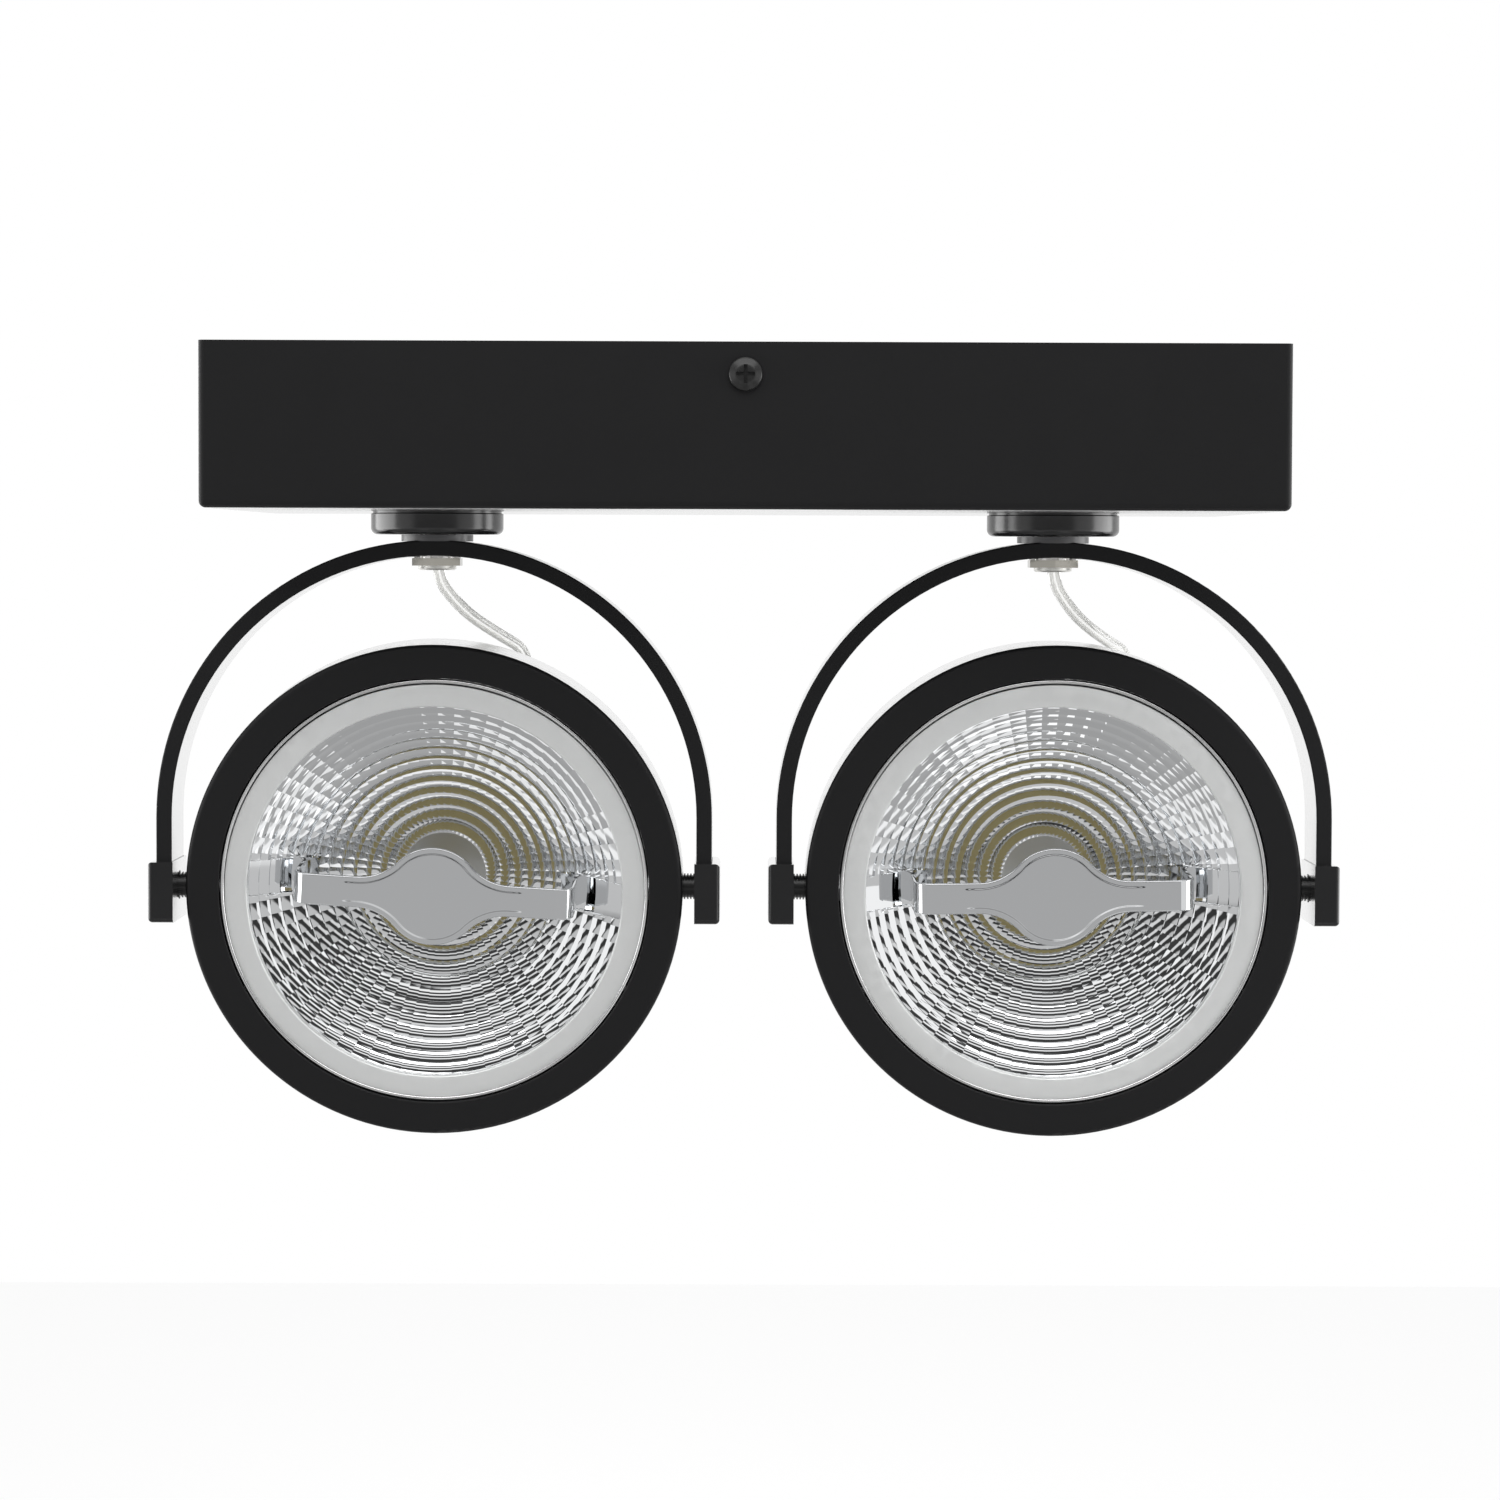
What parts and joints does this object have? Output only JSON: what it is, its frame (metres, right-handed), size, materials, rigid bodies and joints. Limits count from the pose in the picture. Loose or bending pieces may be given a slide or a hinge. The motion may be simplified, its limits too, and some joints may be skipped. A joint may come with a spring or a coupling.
{
  "type": "pivoting spotlight wall light",
  "caption": "Pivoting spotlight for wall or ceiling: a long black canopy with round reflector lamp heads that turn and tilt in bent strap yokes.",
  "frame": {"origin": "centre of the canopy's mounting face, between the bracket's two slots", "axes": "+Z out of the mounting face into the wall or ceiling, +X along the canopy, -Y the way the lamps face at rest"},
  "size_m": [0.314, 0.1248, 0.2067],
  "materials": {
    "black_powder": "matt black powder coat, fine texture",
    "black_plastic": "satin black moulded plastic",
    "black_screw": "black coated steel, slightly glossy",
    "grey_washer": "dark grey moulded plastic",
    "nickel": "nickel plated steel, turned",
    "zinc": "zinc plated steel sheet",
    "mirror_chrome": "vacuum metallised reflector, faceted",
    "satin_ring": "satin metallised ring",
    "bridge_chrome": "polished chrome plated strip",
    "heat_sink": "cast aluminium",
    "board_white": "white solder mask",
    "phosphor": "yellow phosphor gel",
    "ceramic": "unglazed steatite",
    "brass": "turned brass",
    "driver_case": "off-white moulded case",
    "nylon": "natural nylon",
    "black_rubber": "black rubber",
    "spring_steel": "bright spring steel",
    "clear_cable": "clear sheath over tinned strands"
  },
  "bodies": {
    "canopy": {"canopy_housing": "black_powder", "mounting_bracket": "zinc", "canopy_screws": "black_screw", "inlet_grommet": "black_rubber", "terminal_block": "nylon", "terminal_clamps": "brass", "pan_stops": "zinc", "led_driver_left": "driver_case", "led_driver_right": "driver_case", "swivel_disc_left": "black_plastic", "swivel_disc_right": "black_plastic"},
    "yoke_left": {"spacer_washer_left": "grey_washer", "hollow_nipple_left": "nickel", "stop_washer_left": "zinc", "inner_nut_left": "zinc", "lock_washer_left": "nickel", "swivel_nut_left": "nickel", "yoke_left": "black_powder", "yoke_end_caps_left": "black_plastic", "pivot_screws_left": "zinc", "pivot_nuts_left": "zinc", "link_cable_left": "clear_cable"},
    "head_left": {"head_housing_left": "black_powder", "front_bezel_left": "black_powder", "pivot_bushes_left": "black_plastic", "lamp_clips_left": "spring_steel", "cable_grommet_left": "black_rubber", "lamp_ring_left": "satin_ring", "lamp_reflector_left": "mirror_chrome", "lamp_bridge_left": "bridge_chrome", "lamp_body_left": "heat_sink", "led_board_left": "board_white", "led_emitter_left": "phosphor", "lamp_base_left": "ceramic", "lamp_terminals_left": "brass"},
    "yoke_right": {"spacer_washer_right": "grey_washer", "hollow_nipple_right": "nickel", "stop_washer_right": "zinc", "inner_nut_right": "zinc", "lock_washer_right": "nickel", "swivel_nut_right": "nickel", "yoke_right": "black_powder", "yoke_end_caps_right": "black_plastic", "pivot_screws_right": "zinc", "pivot_nuts_right": "zinc", "link_cable_right": "clear_cable"},
    "head_right": {"head_housing_right": "black_powder", "front_bezel_right": "black_powder", "pivot_bushes_right": "black_plastic", "lamp_clips_right": "spring_steel", "cable_grommet_right": "black_rubber", "lamp_ring_right": "satin_ring", "lamp_reflector_right": "mirror_chrome", "lamp_bridge_right": "bridge_chrome", "lamp_body_right": "heat_sink", "led_board_right": "board_white", "led_emitter_right": "phosphor", "lamp_base_right": "ceramic", "lamp_terminals_right": "brass"}
  },
  "joints": [
    {"name": "pan_left", "type": "hinge", "parent": "canopy", "child": "yoke_left", "pos_m": [-0.0817, 0, -0.0475], "axis": [0, 0, 1], "range_deg": [-165, 165]},
    {"name": "tilt_left", "type": "hinge", "parent": "yoke_left", "child": "head_left", "pos_m": [-0.0817, 0, -0.1408], "axis": [1, 0, 0], "range_deg": [-15, 85], "deforming": ["link_cable_left"]},
    {"name": "pan_right", "type": "hinge", "parent": "canopy", "child": "yoke_right", "pos_m": [0.0817, 0, -0.0475], "axis": [0, 0, 1], "range_deg": [-165, 165]},
    {"name": "tilt_right", "type": "hinge", "parent": "yoke_right", "child": "head_right", "pos_m": [0.0817, 0, -0.1408], "axis": [1, 0, 0], "range_deg": [-13.5, 86.5], "deforming": ["link_cable_right"]}
  ]
}
